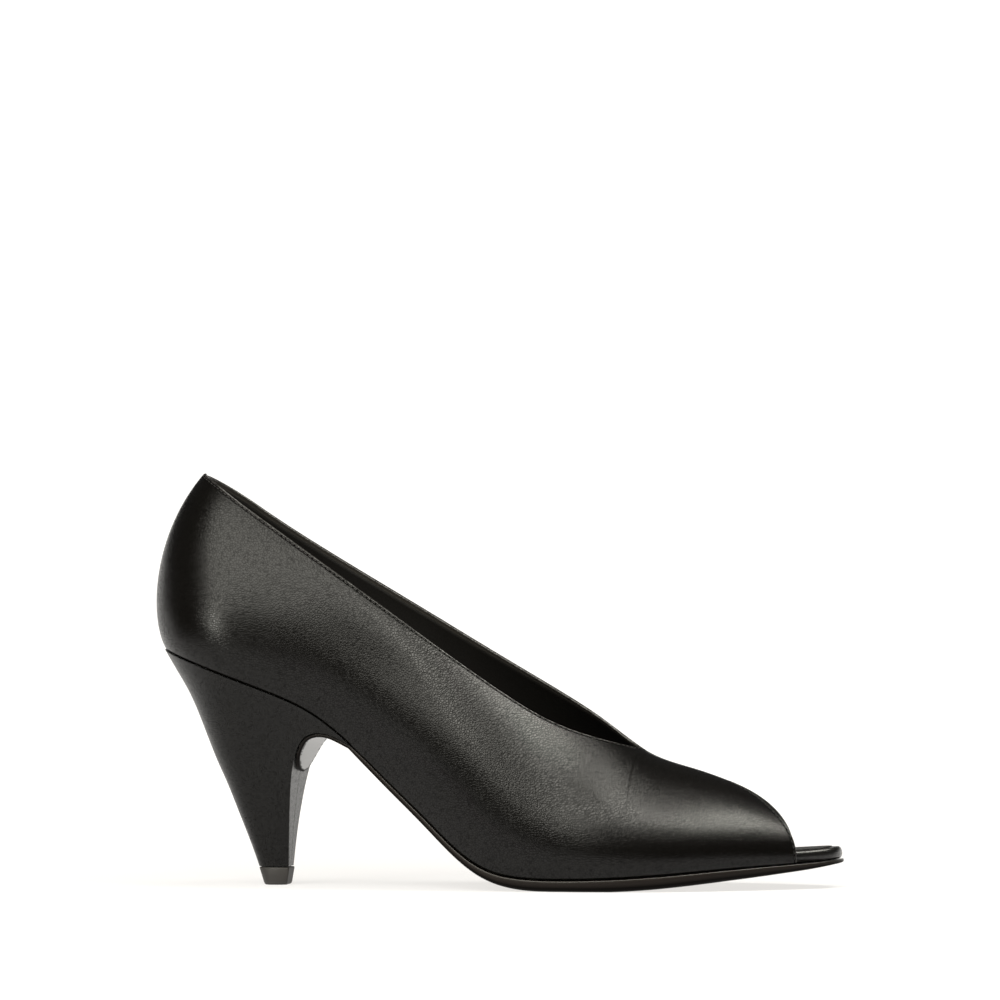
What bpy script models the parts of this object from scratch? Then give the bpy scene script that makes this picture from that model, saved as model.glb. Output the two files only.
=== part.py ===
# Peep toe pump, one right shoe, at real size (about EU 38) with a covered cone heel.
# +X runs to the toe, +Y is the inner (big toe) side, +Z is up; the floor is z = 0.
# All the sizes below are in millimetres and the meshes are made in metres.
import bpy
import bmesh
import numpy as np
from collections import namedtuple

MM = 0.001
WELD = 0.00001
TINY = 0.001
SMOOTH_ANGLE = 0.6

# Wall of the upper, and the gap that touching pieces keep
WALL = 1.4
GAP = 0.3
SEAT_GAP = 0.36

# Where the foot opening and the toe opening begin and end along the shoe
THROAT_X = 47.0
PEEP_RIDGE_X = 77.0
PEEP_OUTER_X = 102.1
PEEP_INNER_X = 94.3

# The sweep of the toe opening: two powers of its side view, and how soft its tip is
PEEP_ROUND = 2.6
PEEP_SWEEP = 0.8
PEEP_SOFT = 2.0

# The two ends of the sole line, and the share of a quarter turn's reach that rounds it
TOE_TIP = (114.2, 9.0, 9.9)
TOE_X = 104.0
HEEL_X = -84.0
HEEL_MID = 1.0
ROUND_END = 0.5523

# Outsole: full thickness, its edge bevel, the tip, and the flap on the breast of the heel
SOLE_FULL = 3.6
SOLE_THINNEST = 0.25
SOLE_BEVEL = 0.7
SOLE_TIP = 1.2
SOLE_TIP_WELT = -0.2
SOLE_END_X = -42.5
FLAP = 1.1
FLAP_INSET = 1.2
FLAP_ROUND = 8.0
FLAP_END_Z = 37.4

# Insole: thickness, and how far its edge stands in from the sole line
INSOLE = 4.0
INSOLE_INSET = 2.15
INSOLE_TIP_INSET = 0.2

# Heel: how far it stands proud of the upper, and how round its foot is
HEEL_PROUD = 0.35
FOOT_BULGE = 2.2

# Grid counts, and how much closer set the stations are at the throat and in the arch
RIB_ROWS = 14
VAMP_STEPS = 16
SIDE_STEPS = 24
END_STEPS = 8
SOLE_STEPS = 34
HEEL_ROWS = 20
FOOT_STEPS = 8
ACROSS = 4
THROAT_CROWD = 1.35
ARCH_CROWD = 0.75
BACK_CROWD = 0.9

# The line where the upper meets the sole: height, both edges, sole thickness and how far
# the sole stands out
BottomRow = namedtuple("BottomRow", "x z lateral medial sole welt")
BOTTOM = [
    BottomRow(-84, 68.6, -25.3, 27.3, 1.7, 0.0),
    BottomRow(-72, 64.1, -25.4, 26.6, 1.7, 0.0),
    BottomRow(-60, 58.4, -24.9, 23.8, 1.7, 0.0),
    BottomRow(-48, 49.2, -24.3, 20.0, 1.5, 0.0),
    BottomRow(-34, 35.8, -25.0, 17.6, 1.6, 0.1),
    BottomRow(-20, 22.8, -27.6, 17.8, 1.8, 0.2),
    BottomRow(-9, 12.8, -30.6, 20.0, 2.1, 0.4),
    BottomRow(1, 6.8, -33.4, 23.6, 2.9, 0.6),
    BottomRow(12, 4.4, -35.8, 28.4, 3.6, 0.7),
    BottomRow(26, 3.9, -37.2, 33.6, 3.6, 0.8),
    BottomRow(42, 4.3, -36.2, 36.6, 4.0, 0.8),
    BottomRow(60, 5.4, -31.3, 36.2, 4.0, 0.8),
    BottomRow(78, 7.0, -23.2, 32.8, 3.6, 0.8),
    BottomRow(92, 8.1, -14.8, 28.8, 3.0, 0.7),
    BottomRow(104, 8.9, -5.8, 23.9, 2.2, 0.5),
]

# Ribs of the last: each is a curve from the sole edge by way of the flare, the wall and
# the shoulder to the ridge
Section = namedtuple(
    "Section",
    "x flare_lat flare_med flare_z wall_lat wall_med wall_z"
    " shoulder_lat shoulder_med shoulder_z ridge_y ridge_z",
)
SECTIONS = [
    Section(-84, -32.0, 33.0, 80.0, -32.0, 33.0, 105.0, -17.0, 19.0, 141.0, 1.0, 150.0),
    Section(-60, -30.5, 30.0, 70.0, -33.0, 32.0, 97.0, -25.0, 26.0, 128.0, 1.5, 133.0),
    Section(-30, -31.0, 26.0, 44.0, -35.5, 31.0, 74.0, -33.0, 29.0, 106.0, 3.0, 110.5),
    Section(0, -38.5, 29.5, 19.0, -41.5, 34.0, 47.0, -28.0, 24.0, 80.0, 4.5, 84.5),
    Section(25, -42.0, 39.0, 13.5, -41.0, 40.0, 33.0, -19.0, 20.0, 61.0, 5.0, 64.0),
    Section(38, -42.0, 41.5, 13.0, -39.0, 40.5, 30.5, -15.0, 19.5, 52.0, 4.8, 53.8),
    Section(47, -40.5, 41.5, 13.0, -36.0, 39.0, 29.0, -13.0, 19.0, 46.4, 4.5, 46.4),
    Section(56, -37.6, 40.8, 13.0, -32.4, 37.2, 28.2, -10.6, 18.0, 42.1, 4.7, 42.1),
    Section(65, -34.0, 39.5, 13.0, -28.5, 35.0, 27.5, -8.0, 17.0, 39.4, 5.0, 39.4),
    Section(85, -23.5, 34.0, 12.8, -18.5, 30.0, 24.5, -2.0, 14.0, 31.8, 6.2, 31.8),
    Section(104, -8.5, 26.5, 12.5, -4.5, 22.5, 19.0, 3.5, 14.0, 22.5, 8.8, 22.5),
]

# The same curve at the very back of the heel, in side view
BackRow = namedtuple("BackRow", "x z")
BACK = [
    BackRow(-113.6, 79.2),
    BackRow(-118.9, 88.0),
    BackRow(-119.4, 112.0),
    BackRow(-109.5, 136.0),
    BackRow(-86.0, 150.0),
]

# The edge of the foot opening in side view
TopRow = namedtuple("TopRow", "x lateral medial")
TOPLINE = [
    TopRow(-104, 139.8, 139.8),
    TopRow(-99.5, 136.8, 136.6),
    TopRow(-84, 127.0, 125.6),
    TopRow(-60, 111.3, 109.9),
    TopRow(-30, 90.4, 92.2),
    TopRow(0, 68.8, 74.6),
    TopRow(20, 56.2, 63.2),
    TopRow(34, 50.6, 54.6),
    TopRow(41, 48.4, 50.0),
    TopRow(47, 46.4, 46.4),
]

# Front edge of the heel cover, from the foot of the heel up the breast and under the arch
EdgeRow = namedtuple("EdgeRow", "x z lateral medial")
BREAST = [
    EdgeRow(-71.1, 6.15, -3.9, 4.6),
    EdgeRow(-70.5, 16.0, -6.6, 7.2),
    EdgeRow(-69.3, 28.7, -11.1, 11.6),
    EdgeRow(-68.0, 37.5, -15.0, 15.2),
    EdgeRow(-66.6, 43.0, -17.4, 17.4),
    EdgeRow(-65.0, 46.7, -19.6, 19.2),
    EdgeRow(-62.8, 49.6, -21.4, 20.4),
    EdgeRow(-60.2, 51.0, -22.6, 21.0),
    EdgeRow(-57.2, 51.4, -23.3, 21.0),
    EdgeRow(-54.0, 50.9, -23.7, 20.8),
    EdgeRow(-50.2, 49.3, -24.0, 20.3),
    EdgeRow(-46.5, 47.3, -24.3, 19.8),
]

# Back edge of the heel in side view, from its foot to the seat
HEEL_BACK = [
    BackRow(-81.8, 6.15),
    BackRow(-85.1, 15.4),
    BackRow(-88.6, 24.4),
    BackRow(-92.0, 33.1),
    BackRow(-95.4, 40.8),
    BackRow(-98.6, 48.9),
    BackRow(-102.0, 57.3),
    BackRow(-105.4, 64.3),
    BackRow(-109.6, 71.4),
    BackRow(-113.6, 79.0),
]

# Outline of the top lift at three heights
LiftRow = namedtuple("LiftRow", "z back front half_width")
LIFT = [
    LiftRow(0.0, -79.9, -71.9, 4.0),
    LiftRow(0.6, -80.2, -71.6, 4.3),
    LiftRow(5.85, -81.8, -70.8, 4.6),
]
LIFT_MID = 0.3

# Edge of the insole from its underside up: share of the thickness, and the way in
EdgeStep = namedtuple("EdgeStep", "up inward")
INSOLE_EDGE = [
    EdgeStep(0.0, 1.2),
    EdgeStep(0.2, 0.3),
    EdgeStep(0.5, 0.0),
    EdgeStep(0.8, 0.35),
    EdgeStep(1.0, 1.4),
]

# Edge of the outsole from its top down: share of the way down, the drop that is added to
# it, and the way in, all for the full thickness
SoleStep = namedtuple("SoleStep", "down drop inward")
SOLE_EDGE = [
    SoleStep(0.0, 0.0, 0.3),
    SoleStep(0.0, 0.25, 0.0),
    SoleStep(0.6, 0.0, 0.1),
    SoleStep(1.0, -SOLE_BEVEL, 0.7),
    SoleStep(1.0, 0.0, 3.3),
]


def spline(knots, values, at):
    """Smooth curve through rows: the natural cubic spline, a column at a time."""
    knots = np.asarray(knots, float)
    values = np.asarray(values, float).reshape(len(knots), -1)
    count = len(knots)
    steps = np.diff(knots)
    system = np.eye(count)
    right = np.zeros_like(values)
    for row in range(1, count - 1):
        before = steps[row - 1]
        after = steps[row]
        system[row, row - 1:row + 2] = before, 2 * (before + after), after
        rise = (values[row + 1] - values[row]) / after
        fall = (values[row] - values[row - 1]) / before
        right[row] = 6 * (rise - fall)
    bends = np.linalg.solve(system, right)
    at = np.atleast_1d(np.asarray(at, float))
    low = np.clip(np.searchsorted(knots, at) - 1, 0, count - 2)
    step = (knots[low + 1] - knots[low])[:, None]
    a = (knots[low + 1] - at)[:, None] / step
    b = 1 - a
    bent = (a**3 - a) * bends[low] + (b**3 - b) * bends[low + 1]
    return a * values[low] + b * values[low + 1] + bent * step**2 / 6


def bottom_at(x, *names):
    """Named columns of the sole line table at stations x."""
    rows = [[getattr(row, name) for name in names] for row in BOTTOM]
    return spline([row.x for row in BOTTOM], rows, x)


def controls(x, side):
    """Five control points of the rib at each station: sole edge, flare, wall, shoulder, ridge."""
    word = "medial" if side > 0 else "lateral"
    tail = "med" if side > 0 else "lat"
    edge = bottom_at(x, word, "z")
    names = []
    for part in ("flare", "wall", "shoulder"):
        names += [part + "_" + tail, part + "_z"]
    names += ["ridge_y", "ridge_z"]
    rows = [[getattr(row, name) for name in names] for row in SECTIONS]
    upper = spline([row.x for row in SECTIONS], rows, x)
    points = np.empty((len(upper), 5, 3))
    points[:, :, 0] = np.atleast_1d(x)[:, None]
    points[:, 0, 1:] = edge
    points[:, 1:, 1:] = upper.reshape(-1, 4, 2)
    return points


def round_off(start, slope, end, turn):
    """Quarter turn from the last station to the end of the shoe, square across at the end."""
    reach = (end[..., 0] - start[..., 0])[..., None]
    first = start + slope * ROUND_END * reach
    second = end.copy()
    second[..., 1] += (start[..., 1] - end[..., 1]) * ROUND_END
    t = turn[:, None, None]
    inner = 3 * t * (1 - t)**2 * first + 3 * t**2 * (1 - t) * second
    return (1 - t)**3 * start + inner + t**3 * end


def rib_controls(u, side):
    """Control points by loop place: 0 at the toe station, 1 at the heel station, 2 at the back."""
    u = np.atleast_1d(np.asarray(u, float))
    along = controls(TOE_X + (HEEL_X - TOE_X) * np.clip(u, 0, 1), side)
    start = controls(HEEL_X, side)[0]
    slope = (controls(HEEL_X + TINY, side)[0] - start) / TINY
    back = np.array([(row.x, HEEL_MID, row.z) for row in BACK])
    heel = round_off(start, slope, back, np.clip(u - 1, 0, 1))
    return np.where((u > 1)[:, None, None], heel, along)


def loop_place(x):
    """Loop place of the station at x."""
    return (TOE_X - np.asarray(x, float)) / (TOE_X - HEEL_X)


def last_point(u, v, side):
    """Point of the last: v runs up the rib from the sole edge (0) to the ridge (1)."""
    u, v = np.broadcast_arrays(np.asarray(u, float), np.asarray(v, float))
    points = rib_controls(u.ravel(), side)
    v_flat = v.ravel()[:, None]
    power = np.arange(5)
    weight = np.array([1, 4, 6, 4, 1]) * v_flat**power * (1 - v_flat)**(4 - power)
    return np.einsum("nk,nkd->nd", weight, points).reshape(u.shape + (3,))


def topline_place(u, side):
    """How far up each rib the foot opening cuts it, found by halving; all of the first one."""
    heights = [row.medial if side > 0 else row.lateral for row in TOPLINE]
    low = np.full(len(u), 0.3)
    high = np.ones(len(u))
    for _ in range(30):
        middle = (low + high) / 2
        point = last_point(u, middle, side)
        line = spline([row.x for row in TOPLINE], heights, point[:, 0])[:, 0]
        over = point[:, 2] > line
        high = np.where(over, middle, high)
        low = np.where(over, low, middle)
    middle[0] = 1.0
    return middle


def peep_x(v, side):
    """Where the toe opening cuts the line at height v along the vamp."""
    foot = PEEP_INNER_X if side > 0 else PEEP_OUTER_X
    ahead = (foot - PEEP_RIDGE_X) * (1 - v**PEEP_ROUND)**PEEP_SWEEP
    return PEEP_RIDGE_X + np.hypot(ahead, PEEP_SOFT) - PEEP_SOFT / 2


def wall_stations():
    """Loop places from the throat station back to the middle of the heel."""
    throat = loop_place(THROAT_X)
    stations = throat + (1 - throat) * np.linspace(0, 1, SIDE_STEPS + 1)**THROAT_CROWD
    return np.concatenate([stations, 1 + np.arange(1, END_STEPS + 1) / END_STEPS])


def wall_grid(side):
    """Side of the upper from the throat station back to the middle of the heel."""
    u = wall_stations()
    top = topline_place(u, side)
    rows = np.linspace(0, 1, RIB_ROWS + 1)
    return last_point(u[:, None], rows[None, :] * top[:, None], side)


def vamp_grid(side):
    """Half of the vamp from the throat station forward to the edge of the toe opening."""
    rows = np.linspace(0, 1, RIB_ROWS + 1)
    ahead = np.linspace(0, 1, VAMP_STEPS + 1)[:, None]
    x = THROAT_X + (peep_x(rows, side)[None, :] - THROAT_X) * ahead
    return last_point(loop_place(x), np.broadcast_to(rows, x.shape), side)


def clear_file():
    """Take away what the start file holds."""
    for item in list(bpy.data.objects):
        bpy.data.objects.remove(item, do_unlink=True)


def welded(grids):
    """One surface from grids of points, joined where their edges meet."""
    surface = bmesh.new()
    for grid in grids:
        rows, columns = grid.shape[:2]
        flat = [surface.verts.new(point) for point in grid.reshape(-1, 3) * MM]
        for row in range(rows - 1):
            for column in range(columns - 1):
                corner = row * columns + column
                ring = (corner, corner + 1, corner + columns + 1, corner + columns)
                surface.faces.new([flat[place] for place in ring])
    bmesh.ops.remove_doubles(surface, verts=surface.verts[:], dist=WELD)
    bmesh.ops.dissolve_degenerate(surface, edges=surface.edges[:], dist=WELD)
    bmesh.ops.recalc_face_normals(surface, faces=surface.faces[:])
    surface.normal_update()
    hindmost = min(surface.verts, key=lambda vert: vert.co.x)
    if hindmost.normal.x > 0:
        bmesh.ops.reverse_faces(surface, faces=surface.faces[:])
    return surface


def thickened(surface):
    """Give an open surface its wall on the inner side and close all its rims."""
    surface.normal_update()
    inner = {}
    for vert in surface.verts[:]:
        inner[vert] = surface.verts.new(vert.co - vert.normal * WALL * MM)
    rims = [edge for edge in surface.edges if edge.is_boundary]
    faces = surface.faces[:]
    for edge in rims:
        first = edge.link_loops[0].vert
        second = edge.other_vert(first)
        surface.faces.new((second, first, inner[first], inner[second]))
    for face in faces:
        surface.faces.new([inner[vert] for vert in reversed(face.verts)])
    return surface


def finished(surface, name, colour, roughness):
    """Turn a closed surface into a named object with its own material."""
    bmesh.ops.triangulate(surface, faces=surface.faces[:])
    bmesh.ops.recalc_face_normals(surface, faces=surface.faces[:])
    mesh = bpy.data.meshes.new(name)
    surface.to_mesh(mesh)
    surface.free()
    mesh.shade_smooth()
    mesh.set_sharp_from_angle(angle=SMOOTH_ANGLE)
    thing = bpy.data.objects.new(name, mesh)
    bpy.context.scene.collection.objects.link(thing)
    material = bpy.data.materials.new(name + " material")
    material.use_nodes = True
    shader = material.node_tree.nodes["Principled BSDF"]
    shader.inputs["Base Color"].default_value = (*colour, 1)
    shader.inputs["Roughness"].default_value = roughness
    mesh.materials.append(material)
    return thing


def make_upper():
    """Hollow upper of one wall thickness, open at the foot, the toe and underneath."""
    grids = []
    for side in (-1, 1):
        grids += [wall_grid(side), vamp_grid(side)]
    surface = thickened(welded(grids))
    return finished(surface, "upper", (0.03, 0.028, 0.026), 0.45)


def sole_line(side):
    """One edge of the sole line, station by station from the toe tip to the back of the heel."""
    x = np.linspace(TOE_X, HEEL_X, SOLE_STEPS + 1)
    start = last_point(loop_place(TOE_X), 0.0, side)[None]
    behind = last_point(loop_place(TOE_X - TINY), 0.0, side)[None]
    slope = (start - behind) / TINY
    turn = np.linspace(1, 0, END_STEPS + 1)[:-1]
    toe = round_off(start, slope, np.array([TOE_TIP]), turn)[:, 0]
    middle = last_point(loop_place(x), 0.0, side)
    heel = last_point(1 + np.arange(1, END_STEPS + 1) / END_STEPS, 0.0, side)
    return np.concatenate([toe, middle, heel])


def outline_of(lateral, medial):
    """Closed outline drawn flat: out along the outer edge and home along the inner one."""
    return np.concatenate([lateral, medial[-2:0:-1]])


def inset(outline, distance):
    """Move a closed flat outline inwards by a distance, which may change along it."""
    along = np.roll(outline, -1, axis=0) - np.roll(outline, 1, axis=0)
    along /= np.linalg.norm(along, axis=1)[:, None]
    inward = np.stack([-along[:, 1], along[:, 0]], axis=1)
    return outline + inward * np.reshape(distance, (-1, 1))


def between(left, right):
    """Grid that spans from one line of points to another."""
    share = np.linspace(0, 1, ACROSS + 1)[None, :, None]
    return left[:, None] + (right - left)[:, None] * share


def plate_grids(levels, profile):
    """Grids of a plate drawn flat at several heights and bent along a side profile."""
    count = levels[0].shape[0]
    half = count // 2
    bands = np.array([bend(flat, profile) for flat in levels])
    bands = np.concatenate([bands, bands[:, :1]], axis=1)
    grids = [bands]
    for ring in (bands[0], bands[-1]):
        grids.append(between(ring[:half + 1], ring[count - half:][::-1]))
    return grids


def bend(flat, profile):
    """Lay flat points (way along, across, height) on a profile of x and z."""
    steps = np.linalg.norm(np.diff(profile, axis=0), axis=1)
    lengths = np.concatenate([[0], np.cumsum(steps)])
    slope = np.gradient(profile, axis=0)
    slope /= np.linalg.norm(slope, axis=1)[:, None]
    way = flat[:, 0]
    x = np.interp(way, lengths, profile[:, 0])
    z = np.interp(way, lengths, profile[:, 1])
    along_x = np.interp(way, lengths, slope[:, 0])
    along_z = np.interp(way, lengths, slope[:, 1])
    lift = flat[:, 2]
    return np.stack([x + along_z * lift, flat[:, 1], z - along_x * lift], axis=1)


def run_length(x, z):
    """Way along a line of stations."""
    steps = np.hypot(np.diff(x), np.diff(z))
    return np.concatenate([[0], np.cumsum(steps)])


def make_insole():
    """Covered insole with round edges, standing free of the wall and bare at the toe."""
    lateral = sole_line(-1)
    medial = sole_line(1)
    way = run_length(lateral[:, 0], lateral[:, 2])
    outline = outline_of(np.stack([way, lateral[:, 1]], 1), np.stack([way, medial[:, 1]], 1))
    bare = np.interp(-PEEP_OUTER_X, -lateral[:, 0], way)
    inside = np.clip(outline[:, 0] / bare, 0, 1)
    margin = INSOLE_TIP_INSET + (INSOLE_INSET - INSOLE_TIP_INSET) * inside**2
    levels = []
    for step in INSOLE_EDGE:
        ring = inset(outline, margin + step.inward)
        levels.append(np.insert(ring, 2, step.up * INSOLE, axis=1))
    surface = welded(plate_grids(levels, lateral[:, [0, 2]]))
    return finished(surface, "insole", (0.035, 0.03, 0.028), 0.5)


def seat_line(side):
    """Edge of the heel seat from the wing tip to the middle of the back."""
    stations = wall_stations()
    wing = loop_place(BREAST[-1].x)
    u = np.insert(stations[stations > wing + 10 * TINY], 0, wing)
    turn = np.clip(u - 1, 0, 1)
    seat = last_point(u, 0.0, side)
    seat[:, 0] -= HEEL_PROUD * turn
    seat[:, 1] += side * HEEL_PROUD * (1 - turn**2)
    seat[:, 2] -= SEAT_GAP
    return seat


def breast_line(side):
    """Front edge of the heel cover from its foot to the wing tip, closer set in the arch."""
    rows = np.array([(row.x, row.medial if side > 0 else row.lateral, row.z) for row in BREAST])
    rows[-1] = seat_line(side)[0]
    way = run_length(rows[:, 0], rows[:, 2])
    share = np.linspace(0, 1, HEEL_ROWS + 1)**ARCH_CROWD
    return spline(way / way[-1], rows, share)


def sole_stations():
    """Stations of the outsole's top from the toe tip to the end of the flap on the breast.

    The columns are x, outer edge, height, inner edge and thickness.
    """
    lateral = sole_line(-1)
    medial = sole_line(1)
    kept = lateral[:, 0] > SOLE_END_X
    lateral = lateral[kept]
    medial = medial[kept]
    toe = np.clip((lateral[:, 0] - TOE_X) / (TOE_TIP[0] - TOE_X), 0, 1)
    sole, welt = bottom_at(np.minimum(lateral[:, 0], TOE_X), "sole", "welt").T
    sole = sole + (SOLE_TIP - sole) * toe
    welt = welt + (SOLE_TIP_WELT - welt) * toe
    front = np.column_stack([lateral, medial[:, 1], sole])
    front[:, 1] -= welt
    front[:, 3] += welt
    outer = breast_line(-1)[::-1]
    inner = breast_line(1)[::-1]
    under = np.column_stack([outer, inner[:, 1], np.full(len(outer), FLAP)])
    under[:, 1] += FLAP_INSET
    under[:, 3] -= FLAP_INSET
    return np.concatenate([front, under[under[:, 2] > FLAP_END_Z]])


def make_outsole():
    """Outsole from the toe tip through the waist and the arch to the flap on the breast."""
    x, outer, z, inner, thick = sole_stations().T
    way = run_length(x, z)
    from_end = np.clip((way[-1] - way) / FLAP_ROUND, 0, 1)
    narrow = np.sqrt(1 - (1 - from_end)**2)
    middle = (outer + inner) / 2
    half = (inner - outer) / 2 * narrow
    outline = outline_of(np.stack([way, middle - half], 1), np.stack([way, middle + half], 1))
    depth = outline_of(thick[:, None], thick[:, None])[:, 0]
    soft = np.clip(depth / SOLE_FULL, SOLE_THINNEST, 1)
    levels = []
    for step in SOLE_EDGE:
        down = GAP + step.down * depth + step.drop * soft
        levels.append(np.column_stack([inset(outline, step.inward * soft), -down]))
    surface = welded(plate_grids(levels, np.stack([x, z], 1)))
    for vert in surface.verts:
        vert.co.z = max(vert.co.z, 0.0)
    return finished(surface, "outsole", (0.03, 0.022, 0.018), 0.4)


def foot_curve(corner, back, share, side):
    """Half of the round D outline of the foot, from the front corner to the middle of the back."""
    angle = share * np.pi / 2
    curve = np.repeat(back[None], len(share), axis=0)
    curve[:, 0] = corner[0] + (back[0] - corner[0]) * np.sin(angle)
    curve[:, 1] += (corner[1] - back[1]) * np.cos(angle) + side * FOOT_BULGE * np.sin(2 * angle)
    return curve


def heel_side(side):
    """Side of the heel: a patch blended between its foot, its back, the seat and the front edge."""
    seat = seat_line(side)
    front = breast_line(side)
    steps = np.linalg.norm(np.diff(seat, axis=0), axis=1)
    round_share = np.concatenate([[0], np.cumsum(steps)]) / steps.sum()
    rise = HEEL_MID / HEEL_BACK[-1].z
    rows = np.array([(row.x, rise * row.z, row.z) for row in HEEL_BACK])
    rows[-1] = seat[-1]
    way = run_length(rows[:, 0], rows[:, 2])
    up_share = np.linspace(0, 1, HEEL_ROWS + 1)**BACK_CROWD
    back = spline(way / way[-1], rows, up_share)
    foot = foot_curve(front[0], back[0], round_share, side)
    s = round_share[None, :, None]
    t = up_share[:, None, None]
    ruled = (1 - t) * foot[None] + t * seat[None]
    across = (1 - s) * front[:, None] + s * back[:, None]
    low = (1 - s) * foot[0] + s * foot[-1]
    high = (1 - s) * seat[0] + s * seat[-1]
    return ruled + across - (1 - t) * low - t * high


def closed_by_spans(lateral, medial):
    """Two side grids closed across the front, the foot and the top."""
    spans = [between(lateral[:, 0], medial[:, 0])]
    for row in (0, -1):
        spans.append(between(lateral[row], medial[row]))
    return welded([lateral, medial] + spans)


def make_heel():
    """Covered cone heel with a flat breast and wings that run out under the waist."""
    surface = closed_by_spans(heel_side(-1), heel_side(1))
    return finished(surface, "heel", (0.03, 0.028, 0.026), 0.35)


def lift_side(side):
    """One side of the top lift from the floor up."""
    share = np.linspace(0, 1, FOOT_STEPS + 1)
    rings = []
    for row in LIFT:
        back = np.array([row.back, LIFT_MID, row.z])
        corner = np.array([row.front, LIFT_MID + side * row.half_width, row.z])
        rings.append(foot_curve(corner, back, share, side))
    return np.array(rings)


def make_top_lift():
    """D shaped top lift that the heel stands on."""
    surface = closed_by_spans(lift_side(-1), lift_side(1))
    return finished(surface, "top_lift", (0.02, 0.02, 0.02), 0.6)


def centre(things):
    """Move the shoe so that the middle of its box is over the origin."""
    ends = []
    for thing in things:
        ends += [vert.co.x for vert in thing.data.vertices]
    middle = (min(ends) + max(ends)) / 2
    for thing in things:
        for vert in thing.data.vertices:
            vert.co.x -= middle


clear_file()
centre([make_upper(), make_insole(), make_outsole(), make_heel(), make_top_lift()])
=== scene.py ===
# %% [markdown]
# # A black leather peep toe pump
# The packed solids already hold the true shape and size of one right shoe, about EU 38.
# This lesson dresses them: each solid is made again as a finer surface from the same
# drawn sizes, with folded edges, stitches, a lining and grained leather. A shoemaker
# draws everything on the last, the foot shaped form that the leather is pulled over,
# so the last comes first here too and every piece of leather is read off it.

# %% Load the packed solids
from collections import namedtuple
import bpy
import bmesh
import numpy as np
from mathutils import Euler, Matrix


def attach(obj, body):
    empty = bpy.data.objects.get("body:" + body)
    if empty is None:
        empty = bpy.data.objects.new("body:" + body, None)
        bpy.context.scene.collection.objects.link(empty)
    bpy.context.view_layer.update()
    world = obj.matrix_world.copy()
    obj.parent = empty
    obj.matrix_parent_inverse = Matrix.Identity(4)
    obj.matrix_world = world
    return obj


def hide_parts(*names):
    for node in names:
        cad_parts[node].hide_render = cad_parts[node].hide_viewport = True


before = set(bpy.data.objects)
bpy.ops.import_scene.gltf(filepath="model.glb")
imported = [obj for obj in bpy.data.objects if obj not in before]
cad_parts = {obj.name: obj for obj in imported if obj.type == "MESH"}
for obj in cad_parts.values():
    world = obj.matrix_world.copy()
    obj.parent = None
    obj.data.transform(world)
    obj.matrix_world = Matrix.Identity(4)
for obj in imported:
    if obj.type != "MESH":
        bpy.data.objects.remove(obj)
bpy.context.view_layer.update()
MM = 0.001

# %% [markdown]
# ## Camera
# The shoe was photographed from the outer side with a long lens at the height of the
# heel, so the camera stands level, 2.5 m away and turned 9.5 degrees. Black leather is
# seen by what it reflects: a pale floor below, dark air in front, and soft boxes above,
# which are set up at the end of the lesson.

# %% Camera
CAMERA_TURN = np.radians(9.5)
CAMERA_WAY = 2500.0
CAMERA_HEIGHT = 128.9
LENS = 269.5
FRAME_SHIFT = 1.246  # from the last's own x to the x of the packed solids


def placed(name, data):
    """A new object in the scene for a mesh, a light or a camera."""
    thing = bpy.data.objects.new(name, data)
    bpy.context.scene.collection.objects.link(thing)
    return thing


lens = bpy.data.cameras.new("camera")
camera = placed("camera", lens)
bpy.context.scene.camera = camera
lens.lens = LENS
lens.clip_end = 50
camera.location = (
    (FRAME_SHIFT + CAMERA_WAY * np.sin(CAMERA_TURN)) * MM,
    -CAMERA_WAY * np.cos(CAMERA_TURN) * MM,
    CAMERA_HEIGHT * MM,
)
camera.rotation_euler = (np.pi / 2, 0, CAMERA_TURN)
bpy.context.scene.view_settings.view_transform = "Standard"
print("camera", [round(c, 3) for c in camera.location])

# %% [markdown]
# ## Shader maths as plain sums
# A small class wraps one socket, so that 1 - mask or 3 * grain in Python adds the Math
# nodes. Every other node comes from one method that sets the node's settings first.

# %% Sockets that can be added and multiplied
class Wire:
    """The value on one socket: sums with numbers or other wires add Math nodes."""

    def __init__(self, paint, socket):
        self.paint = paint
        self.socket = socket

    def sum(self, operation, first, second=0.0):
        """One Math node."""
        return self.paint.node("Math", {"operation": operation}, {0: first, 1: second})

    def __add__(self, other):
        return self.sum("ADD", self, other)

    __radd__ = __add__

    def __sub__(self, other):
        return self.sum("SUBTRACT", self, other)

    def __rsub__(self, other):
        return self.sum("SUBTRACT", other, self)

    def __mul__(self, other):
        return self.sum("MULTIPLY", self, other)

    __rmul__ = __mul__

    def __truediv__(self, other):
        return self.sum("DIVIDE", self, other)

    def bell(self, middle, width):
        """Soft bump of height one: e to the minus square of the way from the middle."""
        way = (self - middle) / width
        return self.sum("EXPONENT", -1.0 * (way * way))

    def step(self, low, high):
        """Smooth rise from 0 at low to 1 at high."""
        settings = {"interpolation_type": "SMOOTHSTEP"}
        return self.paint.node("MapRange", settings, {0: self, 1: low, 2: high})


# mixing towards this matt black paints shade into grooves, grain valleys and the sole's lower
# edge, and darkens the heel's seam lines
SHADE_TONE = (0.0012, 0.0011, 0.001, 1)  # matt black, deep in a groove or a valley


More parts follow.
